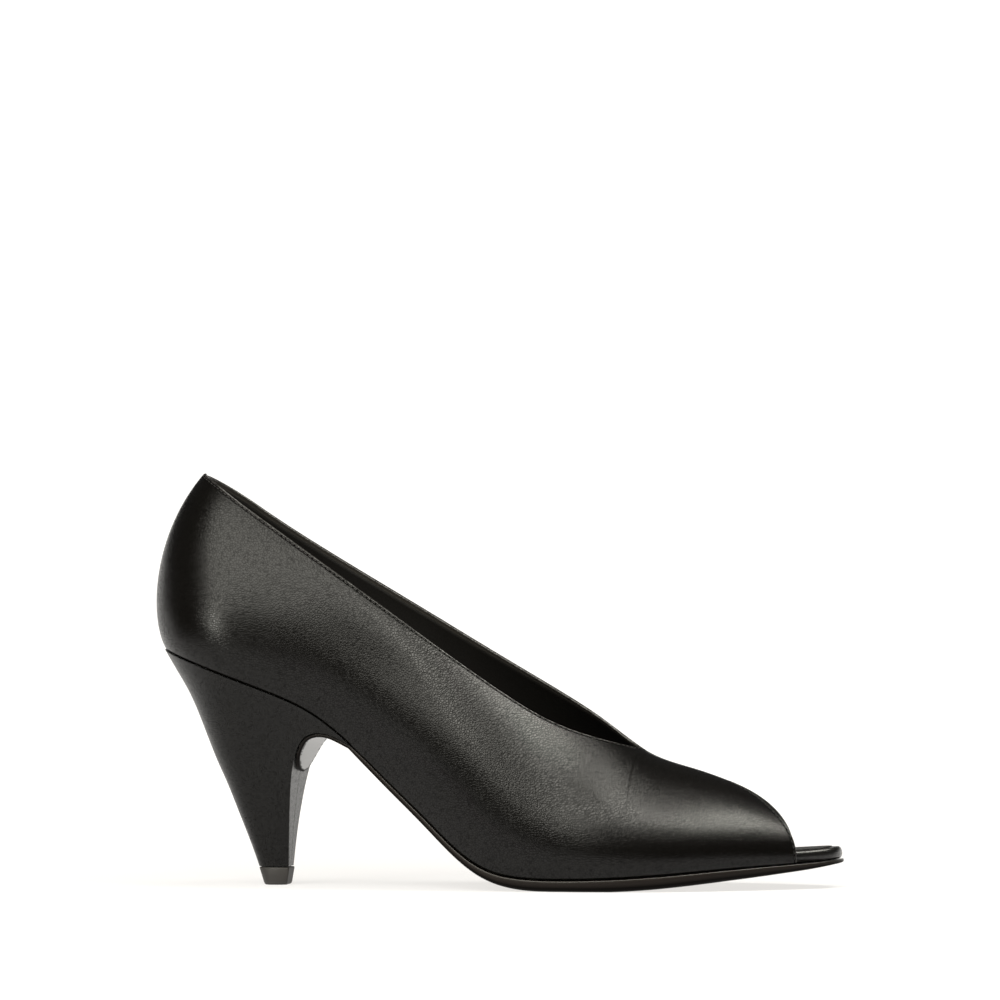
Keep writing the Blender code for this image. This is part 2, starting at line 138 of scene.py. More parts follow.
class Paint:
    """One material and the nodes in it."""

    def __init__(self, name):
        self.material = bpy.data.materials.new(name)
        self.material.use_nodes = True
        self.tree = self.material.node_tree
        self.tree.nodes.clear()
        self.place = self.node("TexCoord", output="Object")

    def node(self, kind, settings=None, inputs=None, output=0):
        """A shader node: settings first, then wires or fixed values on its inputs."""
        node = self.tree.nodes.new("ShaderNode" + kind)
        for key, value in (settings or {}).items():
            setattr(node, key, value)
        for key, value in (inputs or {}).items():
            if isinstance(value, Wire):
                self.tree.links.new(value.socket, node.inputs[key])
            else:
                node.inputs[key].default_value = value
        return Wire(self, node.outputs[output]) if node.outputs else node

    def noise(self, scale, detail=2.0, output=0, vector=None):
        inputs = {"Vector": vector or self.place, "Scale": scale, "Detail": detail}
        return self.node("TexNoise", {}, inputs, output)

    def cells(self, scale, feature, vector=None):
        inputs = {"Vector": vector or self.place, "Scale": scale}
        return self.node("TexVoronoi", {"feature": feature}, inputs)

    def attribute(self, name):
        return self.node("Attribute", {"attribute_name": name}, output="Fac")

    def mix(self, share, first, second):
        inputs = {0: share, 6: (*first, 1) if isinstance(first, tuple) else first}
        inputs[7] = (*second, 1) if isinstance(second, tuple) else second
        return self.node("Mix", {"data_type": "RGBA"}, inputs, 2)

    def bump(self, height, depth, below=None):
        """Bump in real size: a height of one stands depth millimetres proud."""
        inputs = {"Height": height, "Distance": depth * MM, "Strength": 1.0}
        if below is not None:
            inputs["Normal"] = below
        return self.node("Bump", {}, inputs)

    def finish(self, colour, roughness, normal=None, shade=None, **fixed):
        """The shader itself; where shade is one it gives way to matt black."""
        inputs = {"Base Color": colour, "Roughness": roughness}
        if isinstance(colour, tuple):
            inputs["Base Color"] = (*colour, 1)
        if normal is not None:
            inputs["Normal"] = normal
        for key, value in fixed.items():
            inputs[key.replace("_", " ")] = value
        shader = self.node("BsdfPrincipled", {}, inputs)
        # painted shade: where shade is one the surface gives way to matt black
        if shade is not None:
            dark = self.node("BsdfDiffuse", {}, {"Color": SHADE_TONE})
            shader = self.node("MixShader", {}, {0: shade, 1: shader, 2: dark})
        self.node("OutputMaterial", {}, {"Surface": shader})
        return self.material


print("a paint can", [word for word in vars(Paint) if word[0] != "_"])

# %% [markdown]
# ## Meshes from grids
# Every surface below is worked out as a grid of points with two parameters. This helper
# turns grids into one mesh with quads by index arithmetic, welds the seams between
# grids, and says whether the result is closed and how much it holds. A closed mesh with
# faces that point outwards holds a positive volume.

# %% From grids to meshes
WELD = 0.000004  # metres
CUBIC_CM = 1e6   # in a cubic metre


def grid_quads(rows, columns, start, turned):
    """Corner numbers of the quads between neighbouring rows and columns."""
    index = start + np.arange(rows * columns).reshape(rows, columns)
    ring = np.stack([index[:-1, :-1], index[:-1, 1:], index[1:, 1:], index[1:, :-1]], -1)
    ring = ring.reshape(-1, 4)
    return ring[:, ::-1] if turned else ring


def holds(mesh):
    """Volume inside a mesh in cubic centimetres: a sixth of the sum of a . (b x c)."""
    mesh.calc_loop_triangles()
    points = np.array([vert.co[:] for vert in mesh.vertices])
    corners = np.array([face.vertices[:] for face in mesh.loop_triangles])
    a, b, c = points[corners[:, 0]], points[corners[:, 1]], points[corners[:, 2]]
    return np.einsum("nd,nd->", a, np.cross(b, c)) / 6 * CUBIC_CM


def make_piece(name, patches, materials, node, turn_out=True):
    """One mesh piece from patches of (grid of millimetres, turned, material, edge ways)."""
    points, faces, slots, ways = [], [], [], []
    start = 0
    for grid, turned, slot, way in patches:
        rows, columns = grid.shape[:2]
        quads = grid_quads(rows, columns, start, turned)
        points.append(grid.reshape(-1, 3))
        ways.append(np.zeros(rows * columns) + np.asarray(way, float).ravel())
        faces.append(quads)
        slots.append(np.full(len(quads), slot))
        start += rows * columns
    points = np.concatenate(points)
    faces = np.concatenate(faces)
    mesh = bpy.data.meshes.new(name)
    mesh.from_pydata((points * MM).tolist(), [], faces.tolist())
    mesh.polygons.foreach_set("material_index", np.concatenate(slots).astype("i4"))
    layer = mesh.attributes.new("edge_way", "FLOAT", "POINT")
    layer.data.foreach_set("value", np.concatenate(ways).astype("f4"))
    surface = bmesh.new()
    surface.from_mesh(mesh)
    bmesh.ops.remove_doubles(surface, verts=surface.verts[:], dist=WELD)
    bmesh.ops.dissolve_degenerate(surface, edges=surface.edges[:], dist=WELD)
    if turn_out:
        bmesh.ops.recalc_face_normals(surface, faces=surface.faces[:])
    gaps = sum(1 for edge in surface.edges if not edge.is_manifold)
    surface.to_mesh(mesh)
    surface.free()
    mesh.shade_smooth()
    for material in materials:
        mesh.materials.append(material)
    piece = placed(name, mesh)
    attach(piece, "root")
    if node:
        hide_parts(node)
    inside = round(holds(mesh), 2)
    print(name, len(mesh.polygons), "faces, open edges", gaps, "holds", inside)
    return piece


# %% [markdown]
# ## The last
# The last is a run of ribs that stand across the shoe. Each rib is one smooth curve
# from the sole edge by way of the flare, the wall and the shoulder to the ridge, and
# splines carry its control points from toe to heel. A quarter turn closes the back.
# The tables are the shoe's own drawn sizes in millimetres; x runs to the toe, y to the
# inner side and z up.

# %% Sizes of the last
def table(names, *rows):
    """Rows of drawn sizes with named columns."""
    row_of = namedtuple("Row", names)
    return [row_of(*row) for row in rows]


TINY = 0.001
TOE_X = 104.0
HEEL_X = -84.0
HEEL_MID = 1.0
ROUND_END = 0.5523
TOE_TIP = (114.2, 9.0, 9.9)
BOTTOM = table(
    "x z lateral medial sole welt",
    (-84, 68.6, -25.3, 27.3, 1.7, 0.0),
    (-72, 64.1, -25.4, 26.6, 1.7, 0.0),
    (-60, 58.4, -24.9, 23.8, 1.7, 0.0),
    (-48, 49.2, -24.3, 20.0, 1.5, 0.0),
    (-34, 35.8, -25.0, 17.6, 1.6, 0.1),
    (-20, 22.8, -27.6, 17.8, 1.8, 0.2),
    (-9, 12.8, -30.6, 20.0, 2.1, 0.4),
    (1, 6.8, -33.4, 23.6, 2.9, 0.6),
    (12, 4.4, -35.8, 28.4, 3.6, 0.7),
    (26, 3.9, -37.2, 33.6, 3.6, 0.8),
    (42, 4.3, -36.2, 36.6, 4.0, 0.8),
    (60, 5.4, -31.3, 36.2, 4.0, 0.8),
    (78, 7.0, -23.2, 32.8, 3.6, 0.8),
    (92, 8.1, -14.8, 28.8, 3.0, 0.7),
    (104, 8.9, -5.8, 23.9, 2.2, 0.5),
)
SECTIONS = table(
    "x flare_lat flare_med flare_z wall_lat wall_med wall_z"
    " shoulder_lat shoulder_med shoulder_z ridge_y ridge_z",
    (-84, -32.0, 33.0, 80.0, -32.0, 33.0, 105.0, -17.0, 19.0, 141.0, 1.0, 150.0),
    (-60, -30.5, 30.0, 70.0, -33.0, 32.0, 97.0, -25.0, 26.0, 128.0, 1.5, 133.0),
    (-30, -31.0, 26.0, 44.0, -35.5, 31.0, 74.0, -33.0, 29.0, 106.0, 3.0, 110.5),
    (0, -38.5, 29.5, 19.0, -41.5, 34.0, 47.0, -28.0, 24.0, 80.0, 4.5, 84.5),
    (25, -42.0, 39.0, 13.5, -41.0, 40.0, 33.0, -19.0, 20.0, 61.0, 5.0, 64.0),
    (38, -42.0, 41.5, 13.0, -39.0, 40.5, 30.5, -15.0, 19.5, 52.0, 4.8, 53.8),
    (47, -40.5, 41.5, 13.0, -36.0, 39.0, 29.0, -13.0, 19.0, 46.4, 4.5, 46.4),
    (56, -37.6, 40.8, 13.0, -32.4, 37.2, 28.2, -10.6, 18.0, 42.1, 4.7, 42.1),
    (65, -34.0, 39.5, 13.0, -28.5, 35.0, 27.5, -8.0, 17.0, 39.4, 5.0, 39.4),
    (85, -23.5, 34.0, 12.8, -18.5, 30.0, 24.5, -2.0, 14.0, 31.8, 6.2, 31.8),
    (104, -8.5, 26.5, 12.5, -4.5, 22.5, 19.0, 3.5, 14.0, 22.5, 8.8, 22.5),
)
BACK = table(
    "x z",
    (-113.6, 79.2),
    (-118.9, 88.0),
    (-119.4, 112.0),
    (-109.5, 136.0),
    (-86.0, 150.0),
)
print("ribs drawn at x =", [row.x for row in SECTIONS])


# %% [markdown]
# ## Curves through the ribs
# Straight steps between ribs would show as facets in the gloss, so splines carry every
# control point. A point is asked for by its place round the loop and its height.

# %% Curves of the last
def spline(knots, values, at):
    """Natural cubic spline: between two rows the curve is a cubic with even bends."""
    knots = np.asarray(knots, float)
    values = np.asarray(values, float).reshape(len(knots), -1)
    count = len(knots)
    steps = np.diff(knots)
    system = np.eye(count)
    right = np.zeros_like(values)
    for row in range(1, count - 1):
        before = steps[row - 1]
        after = steps[row]
        system[row, row - 1:row + 2] = before, 2 * (before + after), after
        rise = (values[row + 1] - values[row]) / after
        fall = (values[row] - values[row - 1]) / before
        right[row] = 6 * (rise - fall)
    bends = np.linalg.solve(system, right)
    at = np.atleast_1d(np.asarray(at, float))
    low = np.clip(np.searchsorted(knots, at) - 1, 0, count - 2)
    step = (knots[low + 1] - knots[low])[:, None]
    a = (knots[low + 1] - at)[:, None] / step
    b = 1 - a
    bent = (a**3 - a) * bends[low] + (b**3 - b) * bends[low + 1]
    return a * values[low] + b * values[low + 1] + bent * step**2 / 6


def way_along(line):
    """Way from the first point of a line to each of its points."""
    steps = np.linalg.norm(np.diff(line, axis=0), axis=1)
    return np.concatenate([[0], np.cumsum(steps)])


def read_off(at, way, rows):
    """Rows that are known at some ways, read off at other ways by straight shares."""
    return np.stack([np.interp(at, way, column) for column in rows.T], axis=1)


def bottom_at(x, *names):
    """Named columns of the sole line table at stations x."""
    rows = [[getattr(row, name) for name in names] for row in BOTTOM]
    return spline([row.x for row in BOTTOM], rows, x)


def controls(x, side):
    """Five control points of the rib at each station, outer side -1 and inner side 1."""
    word = "medial" if side > 0 else "lateral"
    tail = "med" if side > 0 else "lat"
    names = []
    for part in ("flare", "wall", "shoulder"):
        names += [part + "_" + tail, part + "_z"]
    names += ["ridge_y", "ridge_z"]
    rows = [[getattr(row, name) for name in names] for row in SECTIONS]
    upper = spline([row.x for row in SECTIONS], rows, x)
    points = np.empty((len(upper), 5, 3))
    points[:, :, 0] = np.atleast_1d(x)[:, None]
    points[:, 0, 1:] = bottom_at(x, word, "z")
    points[:, 1:, 1:] = upper.reshape(-1, 4, 2)
    return points


def round_off(start, slope, end, turn):
    """Cubic quarter turn from the last station to the end, square across at the end."""
    reach = (end[..., 0] - start[..., 0])[..., None]
    first = start + slope * ROUND_END * reach
    second = end.copy()
    second[..., 1] += (start[..., 1] - end[..., 1]) * ROUND_END
    t = turn[:, None, None]
    inner = 3 * t * (1 - t)**2 * first + 3 * t**2 * (1 - t) * second
    return (1 - t)**3 * start + inner + t**3 * end


def rib_controls(u, side):
    """Control points by loop place: 0 toe station, 1 heel station, 2 middle of the back."""
    u = np.atleast_1d(np.asarray(u, float))
    along = controls(TOE_X + (HEEL_X - TOE_X) * np.clip(u, 0, 1), side)
    start = controls(HEEL_X, side)[0]
    slope = (controls(HEEL_X + TINY, side)[0] - start) / TINY
    back = np.array([(row.x, HEEL_MID, row.z) for row in BACK])
    heel = round_off(start, slope, back, np.clip(u - 1, 0, 1))
    return np.where((u > 1)[:, None, None], heel, along)


def loop_place(x):
    """Loop place of the station at x: the share of the way from toe to heel station."""
    return (TOE_X - np.asarray(x, float)) / (TOE_X - HEEL_X)


def last_point(u, v, side):
    """Point of the last: a curve of the fourth power through the rib's five controls."""
    u, v = np.broadcast_arrays(np.asarray(u, float), np.asarray(v, float))
    points = rib_controls(u.ravel(), side)
    v_flat = v.ravel()[:, None]
    power = np.arange(5)
    weight = np.array([1, 4, 6, 4, 1]) * v_flat**power * (1 - v_flat)**(4 - power)
    return np.einsum("nk,nkd->nd", weight, points).reshape(u.shape + (3,))


def last_slopes(u, v, side):
    """Directions along the loop and up the rib: differences over a very small step."""
    ahead = np.clip(u + TINY, 0, 2)
    behind = np.clip(u - TINY, 0, 2)
    along = last_point(ahead, v, side) - last_point(behind, v, side)
    rise = last_point(u, v + TINY, side) - last_point(u, v - TINY, side)
    return along / (ahead - behind)[..., None], rise / (2 * TINY)


def unit(vectors):
    """Vectors brought to length one."""
    return vectors / np.linalg.norm(vectors, axis=-1, keepdims=True)


def square_to(vectors, tangents):
    """What is left of vectors after the part that runs along the tangents is taken off."""
    run = np.sum(vectors * tangents, axis=-1, keepdims=True)
    return vectors - run * tangents


BALL_X = 20.0
ball_rib = last_point(loop_place(BALL_X), np.linspace(0, 1, 3), -1)
print("rib at the ball:", ball_rib.round(1).tolist())

# %% [markdown]
# ## The upper
# The upper is one skin of calf leather, pulled over the last and cut open for the foot
# and the toe. Its cut edges are folded over and stitched just below the fold, so an edge
# shows as a thin round bead with a fine dark line under it: the bead is toned lighter,
# rubbed wear and a painted highlight together, and the groove is painted in shade. A solid
# with a thickened wall would give a square edge, so here the outer skin, the round edges
# and the inner skin are drawn as one closed surface. Rows stand close together near the
# edges, where the bead, the groove of the stitches and the step of the lining need them.

# %% Where the leather is cut
TOPLINE = table(
    "x lateral medial",
    (-104, 139.8, 139.8),
    (-99.5, 137.6, 136.6),
    (-94, 134.4, 132.9),
    (-84, 127.7, 125.8),
    (-60, 111.3, 110.2),
    (-30, 90.4, 92.6),
    (0, 68.8, 75.5),
    (20, 56.2, 64.3),
    (34, 50.6, 55.5),
    (41, 48.4, 50.4),
    (47, 46.4, 46.4),
)
THROAT_X = 47.6
PEEP_RIDGE_X = 77.0
PEEP_OUTER_X = 102.1
PEEP_INNER_X = 96.6
PEEP_ROUND = 2.9
PEEP_SWEEP = 0.8
PEEP_SOFT = 2.0
LOWEST_CUT = 0.3
HALVINGS = 34


def topline_place(u, side):
    """How far up each rib the foot opening cuts it, found by halving; all of the first one."""
    heights = [row.medial if side > 0 else row.lateral for row in TOPLINE]
    low = np.full(len(u), LOWEST_CUT)
    high = np.ones(len(u))
    for _ in range(HALVINGS):
        middle = (low + high) / 2
        point = last_point(u, middle, side)
        line = spline([row.x for row in TOPLINE], heights, point[:, 0])[:, 0]
        over = point[:, 2] > line
        high = np.where(over, middle, high)
        low = np.where(over, low, middle)
    middle[0] = 1.0
    return middle


def peep_x(v, side):
    """Where the toe opening cuts the line at height v: a power curve with a soft tip."""
    foot = PEEP_INNER_X if side > 0 else PEEP_OUTER_X
    ahead = (foot - PEEP_RIDGE_X) * (1 - v**PEEP_ROUND)**PEEP_SWEEP
    return PEEP_RIDGE_X + np.hypot(ahead, PEEP_SOFT) - PEEP_SOFT / 2


print("throat at", THROAT_X, "toe opening from", PEEP_RIDGE_X, "to", PEEP_OUTER_X)

# %% [markdown]
# ## Grid of the skin
# Openings cut from a finished mesh would be ragged, so rows of the grid follow the cuts.

# %% Grid of the skin
FOLD = 1.15          # thickness of the folded edge
WALL = 1.4           # thickness with the lining
NEAR = np.array([0, .15, .3, .45, .6, .75, .95, 1.2, 1.6, 2.0, 2.3, 2.6, 3.0, 3.6, 4.5])
FREE_ROWS = 36
WALL_STATIONS = 100
BACK_STATIONS = 22
VAMP_STATIONS = 40
RIM_STEPS = 8
THROAT_CROWD = 1.5
THROAT_SPREAD = 1.2
EDGE_PULL = 1.5      # way over which the cut edge draws back from the throat


def skin(side):
    """Loop places and rib heights of the skin from the toe opening to the middle back.

    Behind the throat a row keeps its way in from the cut edge; ahead of it a station
    keeps its way in from the toe opening. Both are straight shares in between.
    """
    throat = loop_place(THROAT_X)
    share = np.linspace(0, 1, WALL_STATIONS + 1)**THROAT_CROWD
    back_turn = np.arange(1, BACK_STATIONS + 1) / BACK_STATIONS
    u = np.concatenate([throat + (1 - throat) * share, 1 + back_turn])
    top = topline_place(u, side)
    edge = last_point(u, top, side)
    tangent = unit(np.gradient(edge, axis=0))
    tangent[-1] = (0, 1, 0)
    _, rise = last_slopes(u, top, side)
    per_row = np.linalg.norm(square_to(rise, tangent), axis=1)
    pulled = top - FOLD / 2 / per_row * (1 - np.exp(-way_along(edge) / EDGE_PULL))
    near = pulled[:, None] - NEAR[::-1] / per_row[:, None]
    free = near[:, :1] * np.linspace(0, 1, FREE_ROWS + 1)[None, :-1]
    wall_v = np.concatenate([free, near], axis=1)
    wall_u = np.broadcast_to(u[:, None], wall_v.shape)
    v = wall_v[0]
    front = peep_x(v, side)
    edge = last_point(loop_place(front), v, side)
    tangent = unit(np.gradient(edge, v, axis=0))
    tangent[-1] = (0, 1, 0)
    along, _ = last_slopes(loop_place(front), v, side)
    per_x = np.linalg.norm(square_to(along, tangent), axis=1) / (TOE_X - HEEL_X)
    front = front - FOLD / 2 / per_x
    near = front[:, None] - NEAR / per_x[:, None]
    back = THROAT_X + NEAR[::-1] * THROAT_SPREAD
    share = np.linspace(0, 1, VAMP_STATIONS + 1)[1:-1]
    free = near[:, -1:] + (back[0] - near[:, -1:]) * share
    x = np.concatenate([near, free, np.broadcast_to(back, (len(v), len(back)))], axis=1).T
    vamp_u = loop_place(x)[:-1]
    vamp_v = np.broadcast_to(v, vamp_u.shape)
    return np.concatenate([vamp_u, wall_u]), np.concatenate([vamp_v, wall_v]), len(vamp_u)


Skin = namedtuple("Skin", "point normal over_top over_toe throat")


def drawn_skin(side):
    """Points of the skin, its outward normals, and the directions out over both edges."""
    u, v, throat = skin(side)
    point = last_point(u, v, side)
    along, rise = last_slopes(u, v, side)
    normal = -side * unit(np.cross(rise, along))
    tangent = unit(np.gradient(point[throat:, -1], axis=0))
    over_top = unit(square_to(square_to(rise[throat:, -1], tangent), normal[throat:, -1]))
    tangent = unit(np.gradient(point[0], axis=0))
    over_toe = unit(square_to(square_to(-along[0], tangent), normal[0]))
    return Skin(point, normal, over_top, over_toe, throat)


def share_borders(left, right):
    """Give both sides the same points and directions where they meet."""
    count = left.throat + 1
    for ours, theirs in ((left.point, right.point), (left.normal, right.normal)):
        for place in ((slice(0, count), -1), (-1, slice(None))):
            middle = (ours[place] + theirs[place]) / 2
            ours[place] = middle
            theirs[place] = middle
    left.normal[:] = unit(left.normal)
    right.normal[:] = unit(right.normal)
    for ours, theirs in ((left.over_top, right.over_top), (left.over_toe, right.over_toe)):
        middle = unit(ours[-1] + theirs[-1])
        ours[-1] = middle
        theirs[-1] = middle
    corner = left.over_top[0] + right.over_top[0]
    corner = corner / np.dot(corner, corner) * 2
    left.over_top[0] = corner
    right.over_top[0] = corner


outer_side = drawn_skin(-1)
inner_side = drawn_skin(1)
share_borders(outer_side, inner_side)
print("skin grid", outer_side.point.shape, "throat row", outer_side.throat)


# %% [markdown]
# ## Ways in from the edges, and relief
# The groove, the rubbed fold with its painted highlight and the lining's step keep their way
# from the cut edge. It is measured once, shapes the surface here and rides along as an
# attribute for the paints.
# One soft crease on the outer quarter is placed.

# %% Ways and relief
SLICE = 2000


def way_to(points, line):
    """Shortest way from each point to a line of points, in slices to spare memory."""
    flat = points.reshape(-1, 3)
    shortest = np.empty(len(flat))
    for start in range(0, len(flat), SLICE):
        part = flat[start:start + SLICE]
        gaps = np.linalg.norm(part[:, None] - line[None], axis=2)
        shortest[start:start + SLICE] = gaps.min(axis=1)
    return shortest.reshape(points.shape[:-1])


def finer(line, count):
    """The same line with evenly spaced points."""
    way = way_along(line)
    return read_off(np.linspace(0, way[-1], count), way, line)


top_edge = np.concatenate([
    outer_side.point[outer_side.throat:, -1],
    inner_side.point[inner_side.throat:-1, -1][::-1],
])
toe_edge = np.concatenate([outer_side.point[0], inner_side.point[0, -2::-1]])
TOP_POINTS = 1400
TOE_POINTS = 500
cut_lines = np.concatenate([finer(top_edge, TOP_POINTS), finer(toe_edge, TOE_POINTS)])
print("foot opening edge", round(float(way_along(top_edge)[-1])), "mm")

GROOVE_WAY = 0.4
GROOVE_WIDTH = 0.24
GROOVE_DEPTH = 0.12
LINING_WAY = 1.05
LINING_RISE = 0.4
CREASE_X = -36.0     # where the crease is deepest
CREASE_Z = 46.2      # height of its line at x = 0
CREASE_SLOPE = 0.64
CREASE_REACH = 8.0
CREASE_LENGTH = 24.0
CREASE_HEIGHT = 1.0


def smooth(value):
    """Rise from 0 to 1 with no corner at either end."""
    value = np.clip(value, 0, 1)
    return value * value * (3 - 2 * value)


def relief(way):
    """How far the outer face stands off the last: a groove along the line of stitches."""
    return -GROOVE_DEPTH * np.exp(-((way - GROOVE_WAY) / GROOVE_WIDTH)**2)


def thickness(way):
    """The wall is thin at the fold and thicker where the lining begins."""
    return FOLD + (WALL - FOLD) * smooth((way - LINING_WAY) / LINING_RISE)


def crease(point, side):
    """Soft trough above and soft ridge below the line where the outer quarter turns in.

    The way off the line is s, and the face moves by -s e^(-s s / 2), most at CREASE_X.
    """
    x, z = point[..., 0], point[..., 2]
    off_line = (z - CREASE_Z + CREASE_SLOPE * x) / np.hypot(1, CREASE_SLOPE) / CREASE_REACH
    near = np.exp(-((x - CREASE_X) / CREASE_LENGTH)**2)
    return -CREASE_HEIGHT * (side < 0) * near * off_line * np.exp(-off_line**2 / 2)


# %% [markdown]
# ## Leathers
# Calf grain is a field of low cushions about 0.8 mm wide with narrow valleys, so it comes
# from the way to the edges of cells, as a bump in real size. Valleys also lose gloss and
# are mixed towards matt black as painted shade, and flecks vary it at random, which is what
# shows of the grain in a broad sheen; slow noise varies it too. On the heel the same
# leather is pulled tighter, so its grain is flatter.

# %% Upper leather
BLACK_HIDE = (0.0032, 0.0028, 0.0023)
# lighter tone of the fold's rim: rubbed wear and a painted highlight together
RUBBED_AND_HIGHLIT = (0.022, 0.02, 0.018)
VALLEY = 0.22        # share of a cushion that slopes down to its valley
# middle and width of the painted shade along the stitch groove
GROOVE_SHADE = (GROOVE_WAY + 0.05, 0.34)
SEAM_WIDTH = 0.2


def grain(paint, size):
    """Pebble grain: cushions of a size in millimetres with narrow valleys between them."""
    size = size * MM
    bent = paint.node("VectorMath", {"operation": "SCALE"}, {
        0: paint.noise(0.4 / size, output="Color"),
        "Scale": 0.25 * size,
    })
    place = paint.node("VectorMath", {"operation": "ADD"}, {0: paint.place, 1: bent})
    cushions = paint.cells(1 / size, "DISTANCE_TO_EDGE", place)
    return cushions.step(0.0, VALLEY) + 0.5 * paint.noise(2.6 / size)


def leather(name, colour, gloss, size, depth, shine=0.0, stitched=False):
    """Grained leather: colour and gloss drift slowly, the grain is bump and loss of gloss.

    Grain valleys are mixed towards matt black as painted shade, flecks at random. Where it is
    stitched, the fold is toned lighter and coated, rubbed wear and a painted highlight
    together, and the groove is mixed towards matt black as painted shade; elsewhere a
    seam line is darkened the same way.
    """
    paint = Paint(name)
    drift = paint.noise(28, 3.0)
    fleck = paint.noise(800, 1.0) - 0.5
    pebbles = grain(paint, size)
    valley = 1.0 - pebbles.step(0.3, 1.1)
    deep = tuple(0.62 * c for c in colour)
    tone = paint.mix((0.25 + 0.5 * drift) + 0.25 * fleck, deep, colour)
    rough = gloss + 0.05 * (drift - 0.5) + 0.06 * valley
    # painted shade in the grain valleys, mixed towards matt black; flecks vary it at random
    valley_shade_and_fleck = 0.45 * valley + 0.6 * fleck
    normal = paint.bump(pebbles, depth)
    way = paint.attribute("edge_way")
    shade = 0.75 * way.bell(0.0, SEAM_WIDTH)
    if stitched:
        # painted shade along the stitch groove, mixed towards matt black
        shade = way.bell(*GROOVE_SHADE)
        shine = 1.0 - way.step(0.05, 0.2)
        # the fold's rim is toned lighter: rubbed wear and a painted highlight together
        tone = paint.mix(shine, tone, RUBBED_AND_HIGHLIT)
        normal = paint.bump(-1.0 * shade, 0.05, normal)
    return paint.finish(tone, rough, normal, shade=valley_shade_and_fleck + shade, Coat_Weight=shine,
                        Specular_IOR_Level=0.27, Coat_Roughness=0.3)


calf = leather("calf leather", BLACK_HIDE, 0.2, 0.8, 0.021, stitched=True)
print("paint:", calf.name)

# %% [markdown]
# ## Lining and the closed skin
# The lining is a thin dull skin; beside the cut the folded calf shows, toned lighter as a
# painted sheen, with a darker line of painted shade along the groove. Two loose sheets
# would let light through at the edge, so outside, edge and inside are one closed surface.

# %% Lining leather
def lining_leather():
    """Thin lining skin with fine pores; near the cut edge the folded calf shows."""
    paint = Paint("lining leather")
    way = paint.attribute("edge_way")
    pores = paint.cells(1700, "SMOOTH_F1")
    drift = paint.noise(40, 3.0)
    lined = way.step(LINING_WAY - 0.2, LINING_WAY + 0.1)
    tone = paint.mix(drift, (0.0038, 0.0034, 0.0029), (0.0066, 0.0058, 0.005))
    # the folded calf band is toned far lighter than the calf as a painted sheen; the darker
    # line in it is painted shade of the groove
    folded = paint.mix(way.bell(0.35, 0.15), (0.034, 0.031, 0.027), (0.02, 0.018, 0.016))
    tone = paint.mix(lined, folded, tone)
    rough = 0.44 + 0.14 * lined + 0.06 * (drift - 0.5)
    normal = paint.bump(pores.step(0.1, 0.5) + 0.3 * drift, 0.015)
    return paint.finish(tone, rough, normal, Specular_IOR_Level=0.2)


lining = lining_leather()
print("paint:", lining.name)


# %% The upper as one closed skin
def upper_patches(part, side):
    """Outer face, inner face, both round edges, the underside and its two end caps."""
    point, normal, over_top, over_toe, throat = part
    way = way_to(point, cut_lines)
    outside = point + normal * (relief(way) + crease(point, side))[..., None]
    inside = point - normal * thickness(way)[..., None]
    angle = np.linspace(np.pi / 2, -np.pi / 2, RIM_STEPS + 1)

    def round_edge(first, last, over):
        """Half circle from the outer face over the edge to the inner face."""
        middle = (first + last) / 2
        arm = (first - last) / 2
        reach = np.linalg.norm(arm, axis=1, keepdims=True) * over
        return middle[:, None] + arm[:, None] * np.sin(angle)[None, :, None] + (
            reach[:, None] * np.cos(angle)[None, :, None])

    top_rim = round_edge(outside[throat:, -1], inside[throat:, -1], over_top)
    toe_rim = round_edge(outside[0], inside[0], over_toe).transpose(1, 0, 2)[::-1]
    share = np.linspace(0, 1, RIM_STEPS + 1)[None, :, None]
    under = inside[:, :1] + (outside[:, :1] - inside[:, :1]) * share
    cap = np.stack([under[0], toe_rim[:, 0]], axis=0)
    turned = side > 0
    under_way = np.repeat(way[:, :1], RIM_STEPS + 1, axis=1)
    return [
        (outside, turned, 0, way),
        (inside, not turned, 1, way),
        (top_rim, turned, 0, 0.0),
        (toe_rim, turned, 0, 0.0),
        (under, turned, 0, under_way),
        (cap, not turned, 0, 0.0),
    ], outside


outer_patches, outer_face = upper_patches(outer_side, -1)
inner_patches, inner_face = upper_patches(inner_side, 1)


def framed(patches):
    """Move patches from the last's own x to the x of the packed solids."""
    return [(grid + (FRAME_SHIFT, 0, 0), *rest) for grid, *rest in patches]


skin_patches = framed(outer_patches + inner_patches)
make_piece("upper_skin", skin_patches, [calf, lining], "upper", turn_out=False)

# %% [markdown]
# ## Stitches
# A row of short black stitches holds the folded edge all round the foot opening and the
# toe opening. Each is a small bead drawn out along the row, so one bead is worked out
# as a grid and set down many times along a line that runs in the groove.

# %% Line of stitches
thread_paint = Paint("black thread")
ply = thread_paint.noise(5200, 1.0)
thread = thread_paint.finish(
    thread_paint.mix(ply, (0.006, 0.0055, 0.005), (0.02, 0.018, 0.016)),
    0.55 + 0.2 * ply, thread_paint.bump(ply, 0.03))
STITCH = 1.45
STITCH_PITCH = 1.9
STITCH_WIDTH = 0.3
STITCH_HEIGHT = 0.16
STITCH_CLEAR = 6     # stations left free at the throat
STITCH_TIP = 5       # stations that the row runs on past the throat
RUN_REACH = 0.4
BEAD_ROUND = 0.6
GROOVE_ROW = int(np.argmin(np.abs(NEAR - GROOVE_WAY)))


def stitch_line(points, normals, softness):
    """Evenly spaced middles, run directions and normals along a line that is softened."""
    for _ in range(softness):
        points[1:-1] = (points[:-2] + 2 * points[1:-1] + points[2:]) / 4
    way = way_along(points)
    at = np.arange(STITCH_PITCH / 2, way[-1], STITCH_PITCH)
    ahead = read_off(at + RUN_REACH, way, points)
    behind = read_off(at - RUN_REACH, way, points)
    return read_off(at, way, points), unit(ahead - behind), unit(read_off(at, way, normals))


